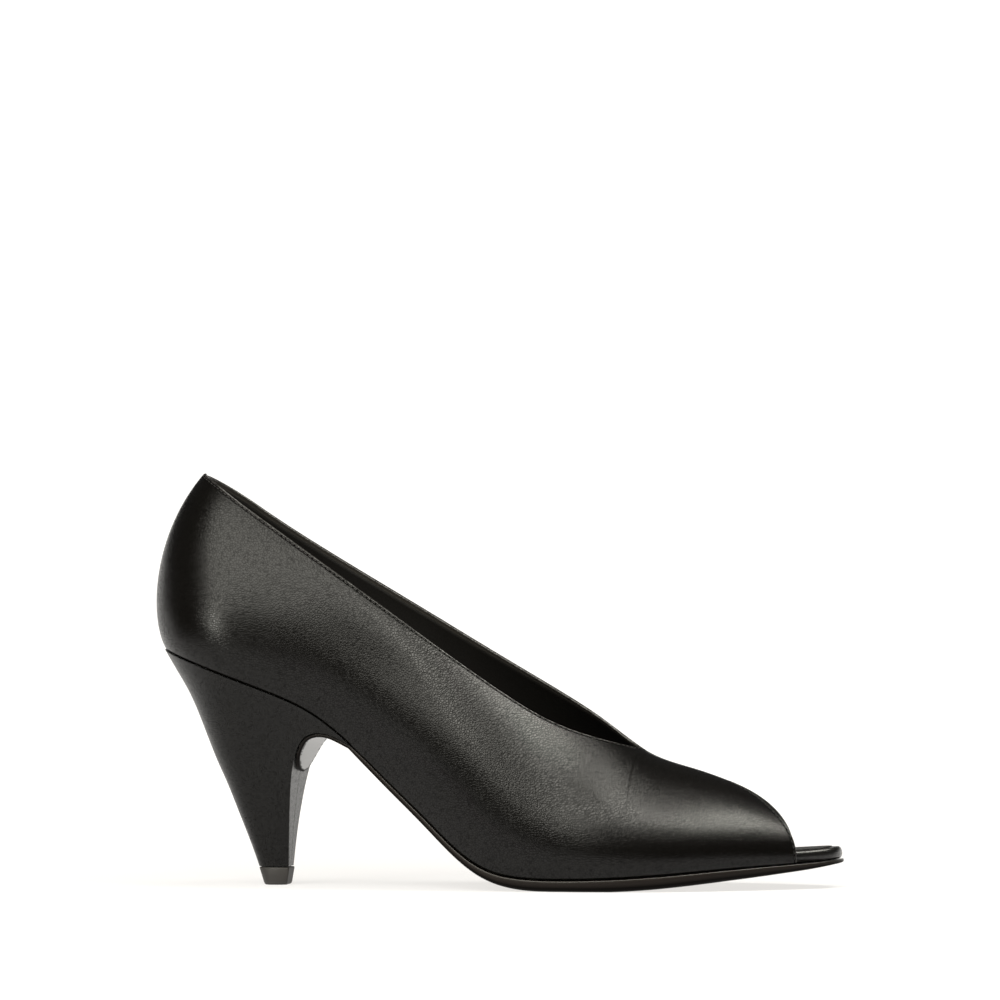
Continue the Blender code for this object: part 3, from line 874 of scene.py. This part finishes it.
def stitch_beads(middle, run, normal):
    """One bead per middle: a drawn out ball, a = run, b = across, c = out of the skin."""
    across = np.cross(normal, run)
    turn = np.linspace(0, 2 * np.pi, 9)[:, None]
    rise = np.linspace(0, np.pi, 7)[None]
    girth = np.sin(rise)**BEAD_ROUND
    a = -np.cos(rise) * STITCH / 2 + 0 * turn
    b = girth * np.cos(turn) * STITCH_WIDTH / 2
    c = girth * np.sin(turn) * STITCH_HEIGHT
    arms = np.stack([run, across, normal], axis=1)
    beads = np.einsum("ijk,nkd->nijd", np.stack([a, b, c], axis=-1), arms)
    return beads + middle[:, None, None]


def along_top(part, face):
    """Line of one side's groove from the throat to the back, with normals."""
    column = -1 - GROOVE_ROW
    return face[part.throat:, column], part.normal[part.throat:, column]


left_line, left_normal = along_top(outer_side, outer_face)
right_line, right_normal = along_top(inner_side, inner_face)
tip = (outer_side.throat - STITCH_TIP, -1)


def round_top(left, right, end):
    """The outer side's line, the inner side's line home, and the tip at both ends."""
    free = slice(STITCH_CLEAR, None)
    return np.concatenate([end[None], left[free], right[free][-2::-1], end[None]])


def round_toe(left, right):
    """The same for the toe opening, from near the sole on both sides."""
    return np.concatenate([left[GROOVE_ROW, 2:], right[GROOVE_ROW, -2:1:-1]])


top_points = round_top(left_line, right_line, outer_side.point[tip])
top_normals = round_top(left_normal, right_normal, outer_side.normal[tip])
toe_points = round_toe(outer_face, inner_face)
toe_normals = round_toe(outer_side.normal, inner_side.normal)


def make_stitches(name, points, normals, softness):
    """One piece with all the beads of a row; returns how many there are."""
    beads = stitch_beads(*stitch_line(points.copy(), normals, softness))
    patches = [(bead, False, 0, 0.0) for bead in beads]
    piece = make_piece(name, framed(patches), [thread], None)
    return len(beads)


print("stitches:", make_stitches("foot_opening_stitches", top_points, top_normals, 2),
      make_stitches("toe_opening_stitches", toe_points, toe_normals, 6))


# %% [markdown]
# ## Insole, sock and outsole
# These are plates cut flat and then bent along the side profile of the last. A plate is
# a closed outline, stacked at several heights with its edge drawn in and out, and every
# point is then carried along the profile. The insole is wrapped in leather and shows
# bare in the open toe. The sock is the thin leather that the foot stands on. The outsole
# is thick under the ball and thin in the waist, and ends in a round flap on the breast
# of the heel.

# %% Plates
SOLE_STEPS = 150
TURN_STEPS = 26
ACROSS = 10
BAND = 5.0
FACE = 30.0


def sole_line(side):
    """One edge of the sole line, station by station from the toe tip to the back."""
    x = np.linspace(TOE_X, HEEL_X, SOLE_STEPS + 1)
    start = last_point(loop_place(TOE_X), 0.0, side)[None]
    behind = last_point(loop_place(TOE_X - TINY), 0.0, side)[None]
    slope = (start - behind) / TINY
    turn = np.linspace(1, 0, TURN_STEPS + 1)[:-1]
    toe = round_off(start, slope, np.array([TOE_TIP]), turn)[:, 0]
    middle = last_point(loop_place(x), 0.0, side)
    heel = last_point(1 + np.arange(1, TURN_STEPS + 1) / TURN_STEPS, 0.0, side)
    return np.concatenate([toe, middle, heel])


def outline_of(lateral, medial):
    """Closed outline drawn flat: out along the outer edge and home along the inner one."""
    return np.concatenate([lateral, medial[-2:0:-1]])


def inset(outline, distance):
    """Move a closed flat outline inwards, square to its own run."""
    run = unit(np.roll(outline, -1, axis=0) - np.roll(outline, 1, axis=0))
    inward = np.stack([-run[:, 1], run[:, 0]], axis=1)
    return outline + inward * np.reshape(distance, (-1, 1))


def between(left, right, count=ACROSS):
    """Straight spans from one line of points to another."""
    share = np.linspace(0, 1, count + 1)[None, :, None]
    return left[:, None] + (right - left)[:, None] * share


def bend(flat, profile):
    """Lay flat points (way along, across, height) on a profile, height square to it."""
    way, across, lift = flat.T
    lengths = way_along(profile)
    x, z = read_off(way, lengths, profile).T
    along_x, along_z = read_off(way, lengths, unit(np.gradient(profile, axis=0))).T
    return np.stack([x + along_z * lift, across, z - along_x * lift], axis=1)


def plate(levels, profile):
    """Patches of a plate: its edge band, and a face at the first and the last level.

    The band carries BAND and the number of its level, so that a paint can find the
    corners, and the faces carry FACE.
    """
    count = levels[0].shape[0]
    half = count // 2
    bands = np.array([bend(flat, profile) for flat in levels])
    bands = np.concatenate([bands, bands[:, :1]], axis=1)
    number = np.broadcast_to(BAND + np.arange(len(bands))[:, None], bands.shape[:2])
    patches = [(bands, False, 0, number)]
    for ring in (bands[0], bands[-1]):
        face = between(ring[:half + 1], ring[count - half:][::-1])
        patches.append((face, False, 0, FACE))
    return patches


def run_length(x, z):
    """Way along a line of stations."""
    return np.concatenate([[0], np.cumsum(np.hypot(np.diff(x), np.diff(z)))])


print("sole line", len(sole_line(-1)), "stations, edges in mm:",
      sole_line(-1)[:, 1].min().round(1), sole_line(1)[:, 1].max().round(1))

# %% [markdown]
# ## Insole and sock
# The bare toe shows how leather rolls round the insole, so its edge runs on an ellipse.

# %% Insole and sock
INSOLE = 4.0
INSOLE_INSET = 2.15
INSOLE_TIP_INSET = 0.2
INSOLE_EDGE = 1.5    # how far the round edge runs in
INSOLE_LEVELS = 10
INSOLE_ROLL = 0.8    # power that flattens the round edge
SOCK = 0.45
SOCK_SUNK = 0.05
SOCK_MARGIN = 3.1
SOCK_ROLL = ((0.0, 0.0), (0.6, 0.05), (0.9, 0.2), (1.0, 0.45))  # height share, way in
lateral = sole_line(-1)
medial = sole_line(1)
sole_way = run_length(lateral[:, 0], lateral[:, 2])
side_profile = lateral[:, [0, 2]]
flat_outline = outline_of(
    np.stack([sole_way, lateral[:, 1]], 1), np.stack([sole_way, medial[:, 1]], 1))
bare = np.interp(-PEEP_OUTER_X, -lateral[:, 0], sole_way)
inside_share = np.clip(flat_outline[:, 0] / bare, 0, 1)
margin = INSOLE_TIP_INSET + (INSOLE_INSET - INSOLE_TIP_INSET) * inside_share**2


def insole_levels():
    """A round edge: the way in is an ellipse of the height, flatter under than on top."""
    levels = []
    for turn in np.linspace(-np.pi / 2, np.pi / 2, 2 * INSOLE_LEVELS + 1):
        inward = INSOLE_EDGE * (1 - np.cos(turn)**INSOLE_ROLL)
        up = INSOLE / 2 * (1 + np.sin(turn))
        levels.append(np.insert(inset(flat_outline, margin + inward), 2, up, axis=1))
    return levels


def sock_levels():
    """A thin leaf with a rolled edge."""
    levels = []
    for up, inward in SOCK_ROLL:
        ring = inset(flat_outline, margin + SOCK_MARGIN + inward)
        levels.append(np.insert(ring, 2, INSOLE - SOCK_SUNK + up * SOCK, axis=1))
    return levels


wrap = leather("insole leather", BLACK_HIDE, 0.26, 0.55, 0.02, shine=0.7)
sock_leather = leather("sock leather", (0.006, 0.0053, 0.0045), 0.45, 0.55, 0.02, shine=0.2)
make_piece("insole_wrap", framed(plate(insole_levels(), side_profile)), [wrap], "insole")
make_piece("sock_lining", framed(plate(sock_levels(), side_profile)), [sock_leather], "insole")

# %% [markdown]
# ## Heel lines
# The outsole runs on over the heel's breast, so the heel's seat, edges and back are first.

# %% Heel lines
GAP = 0.3
SEAT_GAP = 0.36
HEEL_PROUD = 0.35
FOOT_BULGE = 2.2
HEEL_ROWS = 90
SEAT_STATIONS = 50
SEAT_TURN = 30
ARCH_CROWD = 0.75
BACK_CROWD = 0.9
BREAST = table(
    "x z lateral medial",
    (-71.1, 6.15, -3.9, 4.6),
    (-70.5, 16.0, -6.6, 7.2),
    (-69.3, 28.7, -11.1, 11.6),
    (-68.0, 37.5, -15.0, 15.2),
    (-66.6, 43.0, -17.4, 17.4),
    (-65.0, 46.7, -19.6, 19.2),
    (-62.8, 49.6, -21.4, 20.4),
    (-60.2, 51.0, -22.6, 21.0),
    (-57.2, 51.4, -23.3, 21.0),
    (-54.0, 50.9, -23.7, 20.8),
    (-50.2, 49.3, -24.0, 20.3),
    (-46.5, 47.3, -24.3, 19.8),
)
HEEL_BACK = table(
    "x z",
    (-81.8, 6.15),
    (-85.1, 15.4),
    (-88.6, 24.4),
    (-92.0, 33.1),
    (-95.4, 40.8),
    (-98.6, 48.9),
    (-102.0, 57.3),
    (-105.4, 64.3),
    (-109.6, 71.4),
    (-113.6, 79.0),
)


def seat_line(side):
    """Edge of the heel seat from the wing tip to the middle of the back."""
    wing = loop_place(BREAST[-1].x)
    back_turn = np.arange(1, SEAT_TURN + 1) / SEAT_TURN
    u = np.concatenate([np.linspace(wing, 1, SEAT_STATIONS), 1 + back_turn])
    turn = np.clip(u - 1, 0, 1)
    seat = last_point(u, 0.0, side)
    seat[:, 0] -= HEEL_PROUD * turn
    seat[:, 1] += side * HEEL_PROUD * (1 - turn**2)
    seat[:, 2] -= SEAT_GAP
    return seat


def breast_line(side):
    """Front edge of the heel cover from its foot to the wing tip."""
    rows = np.array([(row.x, row.medial if side > 0 else row.lateral, row.z) for row in BREAST])
    rows[-1] = seat_line(side)[0]
    way = run_length(rows[:, 0], rows[:, 2])
    return spline(way / way[-1], rows, np.linspace(0, 1, HEEL_ROWS + 1)**ARCH_CROWD)


print("breast from z", BREAST[0].z, "to the wing at z", breast_line(-1)[-1, 2].round(1))

# %% [markdown]
# ## Outsole
# A leather sole has a sloped lower edge, inked and waxed: a table draws each outline in.
# Its lower edge is also mixed towards matt black as painted shade, and its top corner is
# toned lighter as a painted highlight.

# %% Outsole
SOLE_FULL = 3.6
SOLE_THINNEST = 0.25
SOLE_BEVEL = 0.7
SOLE_TIP = 1.2
SOLE_TIP_WELT = -0.2
SOLE_END_X = -42.5
FLAP = 1.1
FLAP_INSET = 1.2
FLAP_ROUND = 8.0
FLAP_END_Z = 37.4
SOLE_EDGE = table(
    "down drop inward",
    (0.0, 0.0, 0.5),
    (0.0, 0.03, 0.22),
    (0.0, 0.12, 0.06),
    (0.0, 0.28, 0.0),
    (0.3, 0.0, 0.02),
    (0.6, 0.0, 0.1),
    (0.8, -0.45 * SOLE_BEVEL, 0.3),
    (1.0, -SOLE_BEVEL, 0.7),
    (1.0, -0.55 * SOLE_BEVEL, 1.25),
    (1.0, -0.2 * SOLE_BEVEL, 2.1),
    (1.0, 0.0, 3.3),
)


def sole_stations():
    """Stations of the outsole's top: x, outer edge, height, inner edge, thickness."""
    kept = lateral[:, 0] > SOLE_END_X
    left, right = lateral[kept], medial[kept]
    toe = np.clip((left[:, 0] - TOE_X) / (TOE_TIP[0] - TOE_X), 0, 1)
    sole, welt = bottom_at(np.minimum(left[:, 0], TOE_X), "sole", "welt").T
    sole = sole + (SOLE_TIP - sole) * toe
    welt = welt + (SOLE_TIP_WELT - welt) * toe
    front = np.column_stack([left, right[:, 1], sole])
    front[:, 1] -= welt
    front[:, 3] += welt
    outer = breast_line(-1)[::-1]
    inner = breast_line(1)[::-1]
    under = np.column_stack([outer, inner[:, 1], np.full(len(outer), FLAP)])
    under[:, 1] += FLAP_INSET
    under[:, 3] -= FLAP_INSET
    return np.concatenate([front, under[under[:, 2] > FLAP_END_Z]])


def sole_levels(x, outer, z, inner, thick):
    """Outlines from the top down: each is drawn in by the edge's own steps."""
    way = run_length(x, z)
    from_end = np.clip((way[-1] - way) / FLAP_ROUND, 0, 1)
    narrow = np.sqrt(1 - (1 - from_end)**2)
    middle = (outer + inner) / 2
    half = (inner - outer) / 2 * narrow
    outline = outline_of(np.stack([way, middle - half], 1), np.stack([way, middle + half], 1))
    depth = outline_of(thick[:, None], thick[:, None])[:, 0]
    soft = np.clip(depth / SOLE_FULL, SOLE_THINNEST, 1)
    levels = []
    for step in SOLE_EDGE:
        down = GAP + step.down * depth + step.drop * soft
        levels.append(np.column_stack([inset(outline, step.inward * soft), -down]))
    return levels


STROKES = (120, 120, 1600)
# levels of the sole edge's top corner, toned lighter there as a painted highlight
HIGHLIT_TOP_CORNER = (6.6, 1.1)    # levels of the band, counted from BAND


def sole_paint():
    """Waxed sole: ink drifts from brown to black, with faint strokes of the edge iron."""
    paint = Paint("sole leather")
    drift = paint.noise(45, 3.0)
    drawn = paint.node("Mapping", {}, {"Vector": paint.place, "Scale": STROKES})
    stroke = paint.noise(1.0, vector=drawn)
    fibre = paint.noise(1500, 4.0)
    ink = 0.7 * drift + 0.3 * fibre
    tone = paint.mix(ink, (0.006, 0.0045, 0.0038), (0.013, 0.0095, 0.0075))
    way = paint.attribute("edge_way")
    corner = way.bell(*HIGHLIT_TOP_CORNER)
    face = way.step(22.0, 27.0)
    # painted shade: the lower side and the bevel of the edge are mixed towards matt black
    bevel = way.step(9.0, 10.5) - way.step(13.0, 15.0)
    # painted highlight: the top corner of the edge is toned lighter
    tone = paint.mix(corner, tone, (0.05, 0.045, 0.04))
    rough = 0.3 + 0.12 * drift + 0.08 * fibre
    normal = paint.bump(0.6 * stroke + 0.4 * fibre, 0.02)
    return paint.finish(tone, rough, normal, shade=0.75 * bevel, Specular_IOR_Level=0.12,
                        Coat_Weight=corner + face, Coat_Roughness=0.3)


stations = sole_stations().T
sole_patches = framed(plate(sole_levels(*stations), stations[[0, 2]].T))
above_floor = (-np.inf, -np.inf, 0)
sole_patches = [(np.maximum(grid, above_floor), *rest) for grid, *rest in sole_patches]
make_piece("outsole_leather", sole_patches, [sole_paint()], "outsole")

# %% [markdown]
# ## Heel and top lift
# The heel is a moulded cone covered in the same calf, pulled tight and seamed down the
# middle of the breast. Its side is a patch that is blended between four lines: the foot,
# the back, the seat and the front edge. The sharp corners get a small bevel, because
# leather can't turn tighter than its own thickness. The top lift is a hard rubber plate.

# %% Heel cover
def foot_curve(corner, back, share, side):
    """Half of the round D outline of the foot: a quarter of an ellipse with a bulge."""
    angle = share * np.pi / 2
    curve = np.repeat(back[None], len(share), axis=0)
    curve[:, 0] = corner[0] + (back[0] - corner[0]) * np.sin(angle)
    curve[:, 1] += (corner[1] - back[1]) * np.cos(angle) + side * FOOT_BULGE * np.sin(2 * angle)
    return curve


def heel_side(side):
    """Side of the heel: sum of two ruled surfaces less the one through the corners."""
    seat = seat_line(side)
    front = breast_line(side)
    seat_way = way_along(seat)
    round_share = seat_way / seat_way[-1]
    rise = HEEL_MID / HEEL_BACK[-1].z
    rows = np.array([(row.x, rise * row.z, row.z) for row in HEEL_BACK])
    rows[-1] = seat[-1]
    way = run_length(rows[:, 0], rows[:, 2])
    up_share = np.linspace(0, 1, HEEL_ROWS + 1)**BACK_CROWD
    back = spline(way / way[-1], rows, up_share)
    foot = foot_curve(front[0], back[0], round_share, side)
    s = round_share[None, :, None]
    t = up_share[:, None, None]
    ruled = (1 - t) * foot[None] + t * seat[None]
    across = (1 - s) * front[:, None] + s * back[:, None]
    low = (1 - s) * foot[0] + s * foot[-1]
    high = (1 - s) * seat[0] + s * seat[-1]
    return ruled + across - (1 - t) * low - t * high


FRONT_SPANS = 60
TUCK = 0.45
CORNER = 0.35
CORNER_ANGLE = 0.6


def closed_by_spans(side_of):
    """Both side grids, moved to the frame, closed across the front, the foot and the top.

    The front carries the way to its nearest line: the seam down the middle, or the tucks
    of the cover just inside both edges.
    """
    left, right = side_of(-1), side_of(1)
    half = np.linalg.norm(right[:, 0] - left[:, 0], axis=1, keepdims=True) / 2
    off_middle = np.abs(np.linspace(-1, 1, FRONT_SPANS + 1)) * half
    tucks = np.minimum(off_middle, np.abs(half - TUCK - off_middle))
    patches = [(between(left[:, 0], right[:, 0], FRONT_SPANS), False, 0, tucks)]
    foot = between(left[0], right[0], FRONT_SPANS)
    top = between(left[-1], right[-1], FRONT_SPANS)
    for grid in (left, right, foot, top):
        patches.append((grid, False, 0, FACE))
    return framed(patches)


heel_leather = leather("heel leather", BLACK_HIDE, 0.24, 0.55, 0.015)
heel = make_piece("heel_cover", closed_by_spans(heel_side), [heel_leather], "heel")
bevel = heel.modifiers.new("soft corners", "BEVEL")
bevel.width = CORNER * MM
bevel.segments = 3
bevel.limit_method = "ANGLE"
bevel.angle_limit = CORNER_ANGLE
bevel.harden_normals = True

# %% [markdown]
# ## Top lift
# The lift is a moulded part with a soft rim, so its D outline is drawn at seven heights.

# %% Top lift
LIFT = table(
    "z back front half_width",
    (0.0, -79.7, -72.1, 3.8),
    (0.25, -79.95, -71.85, 4.05),
    (0.7, -80.2, -71.6, 4.3),
    (3.2, -81.0, -71.2, 4.45),
    (5.5, -81.75, -70.85, 4.6),
    (5.75, -81.7, -70.9, 4.5),
    (5.85, -81.5, -71.1, 4.3),
)
LIFT_MID = 0.3
LIFT_STATIONS = 25


def lift_side(side):
    """One side of the top lift from the floor up, a D outline at each height."""
    share = np.linspace(0, 1, LIFT_STATIONS)
    rings = []
    for row in LIFT:
        back = np.array([row.back, LIFT_MID, row.z])
        corner = np.array([row.front, LIFT_MID + side * row.half_width, row.z])
        rings.append(foot_curve(corner, back, share, side))
    return np.array(rings)


def rubber_paint():
    """Hard rubber: matt, with fine specks and a faint moulding haze."""
    paint = Paint("lift rubber")
    haze = paint.noise(300, 3.0)
    speck = paint.noise(2400, 2.0)
    tone = paint.mix(haze, (0.012, 0.0105, 0.0092), (0.026, 0.0225, 0.0195))
    return paint.finish(tone, 0.5 + 0.15 * speck, paint.bump(speck, 0.012))


make_piece("top_lift_rubber", closed_by_spans(lift_side), [rubber_paint()], "top_lift")

# %% [markdown]
# ## Floor and dark card
# The floor is a disc with an upturned rim. It glows like an overlit sweep: less near the
# shoe, where its shadow has to show, and grey far out to the front, so that the leather
# mirrors no white there. A low card round the front is seen in reflections alone: it
# draws the dark band between the light of the floor and that of the boxes.

# %% Floor and dark card
FLOOR_RADIUS = 6.0
RIM_START = 4.6
RIM_RISE = 0.95
NEAR_GLOW = (0.74, 0.722, 0.695)
OPEN_GLOW = (1.12, 1.1, 1.06)
FRONT_GLOW = (0.22, 0.218, 0.213)
NEAR_REACH = 0.42
FRONT_FADE = (-0.95, -0.66)
FRONT_FAN = 0.7
FLOOR_TONE = (0.2, 0.201, 0.212)
CARD_WAY = 0.38
CARD_FOOT = 0.004
CARD_RISE = 0.125
CARD_TURN = 95
CARD_TONES = (0.01, 0.01, 0.01), (0.015, 0.015, 0.014)
SHEET_WELD = 0.0001


def floor_grid():
    """Disc by turn and radius: height is the cube of the way past the rim's start."""
    turn = np.linspace(0, 2 * np.pi, 97)[:, None]
    radius = np.linspace(0, FLOOR_RADIUS, 61)[None]
    past = np.clip((radius - RIM_START) / (FLOOR_RADIUS - RIM_START), 0, 1)
    height = RIM_RISE * past**3 + 0 * turn
    return np.stack([radius * np.cos(turn), radius * np.sin(turn), height], axis=-1)


def card_grid():
    """Upright band by turn and height, all at one way off."""
    turn = np.radians(np.linspace(-CARD_TURN, CARD_TURN, 46))[:, None]
    rise = np.linspace(CARD_FOOT, CARD_RISE, 3)[None]
    turn, rise = np.broadcast_arrays(turn, rise)
    return np.stack([CARD_WAY * np.sin(turn), -CARD_WAY * np.cos(turn), rise], axis=-1)


def floor_paint():
    """Pale and matt, with the three glows mixed by the way from the shoe."""
    paint = Paint("studio floor")
    x, y = (paint.node("SeparateXYZ", {}, {0: paint.place}, output) for output in "XY")
    behind = y - FRONT_FAN * paint.node("Math", {"operation": "ABSOLUTE"}, {0: x})
    radius = paint.node("VectorMath", {"operation": "LENGTH"}, {0: paint.place}, "Value")
    glow = paint.mix(radius.bell(0.0, NEAR_REACH), OPEN_GLOW, NEAR_GLOW)
    glow = paint.mix(behind.step(*FRONT_FADE), FRONT_GLOW, glow)
    return paint.finish(FLOOR_TONE, 0.8, Emission_Color=glow, Emission_Strength=1.0,
                        Specular_IOR_Level=0.1)


def card_paint():
    """Matt black with slow noise."""
    paint = Paint("dark card")
    return paint.finish(paint.mix(paint.noise(20), *CARD_TONES), 0.9)


def make_sheet(name, grid, turned, material):
    """A sheet of the studio from one grid, welded where the grid meets itself."""
    mesh = bpy.data.meshes.new(name)
    quads = grid_quads(*grid.shape[:2], 0, turned)
    mesh.from_pydata(grid.reshape(-1, 3).tolist(), [], quads.tolist())
    surface = bmesh.new()
    surface.from_mesh(mesh)
    bmesh.ops.remove_doubles(surface, verts=surface.verts[:], dist=SHEET_WELD)
    surface.to_mesh(mesh)
    surface.free()
    mesh.shade_smooth()
    mesh.materials.append(material)
    sheet = placed(name, mesh)
    print(name, len(mesh.polygons), "faces")
    return sheet


make_sheet("studio_floor", floor_grid(), True, floor_paint())
card = make_sheet("dark_card", card_grid(), False, card_paint())
card.visible_camera = card.visible_shadow = card.visible_diffuse = False

# %% [markdown]
# ## Lights
# A sheen on black leather is the picture of a lamp, so each box stands where the leather
# mirrors it: over the quarter, along the waist, ahead of the toe and low behind the heel.
# The top box lights the floor.

# %% Lights
AIM_HEIGHT = 0.07
WARM = (1.0, 0.98, 0.89)
STUDIO_AIR = (0.06, 0.06, 0.06, 1)


def soft_box(name, turn, rise, way, size, glow, roll=0.0):
    """A soft box that looks at the shoe from a turn, a rise and a way off.

    It glows the same however large it is: its power is glow times its area times pi.
    """
    light = bpy.data.lights.new(name, "AREA")
    light.shape = "RECTANGLE"
    light.size, light.size_y = size
    light.energy = glow * np.pi * size[0] * size[1]
    light.color = WARM
    lamp = placed(name, light)
    turn, rise, roll = np.radians((turn, rise, roll))
    level_way = np.cos(rise)
    arm = np.array([np.sin(turn) * level_way, -np.cos(turn) * level_way, np.sin(rise)])
    lamp.location = arm * way + (0, 0, AIM_HEIGHT)
    level = Euler((np.pi / 2 - rise, 0, turn)).to_matrix()
    lamp.rotation_euler = (level @ Matrix.Rotation(roll, 3, "Z")).to_euler()
    lamp.visible_camera = False
    print(name, round(light.energy, 2), "W")


soft_box("quarter box", -28, 33, 0.5, (0.44, 0.42), 5.7, 20)
soft_box("vamp box", 88, 50, 0.43, (0.32, 0.12), 15.5, -14)
soft_box("long box", 20, 40, 0.38, (0.36, 0.062), 12.0, 35)
soft_box("heel spot", -50, 4.5, 0.23, (0.035, 0.035), 18.0)
soft_box("top box", 180, 84, 1.6, (0.6, 0.6), 9.0)
world = bpy.data.worlds.new("studio air")
bpy.context.scene.world = world
world.use_nodes = True
world.node_tree.nodes["Background"].inputs[0].default_value = STUDIO_AIR
world.node_tree.nodes["Background"].inputs[1].default_value = 1.0

# %% [markdown]
# ## The end
# Folds and stitches may stand a little proud of the solids.
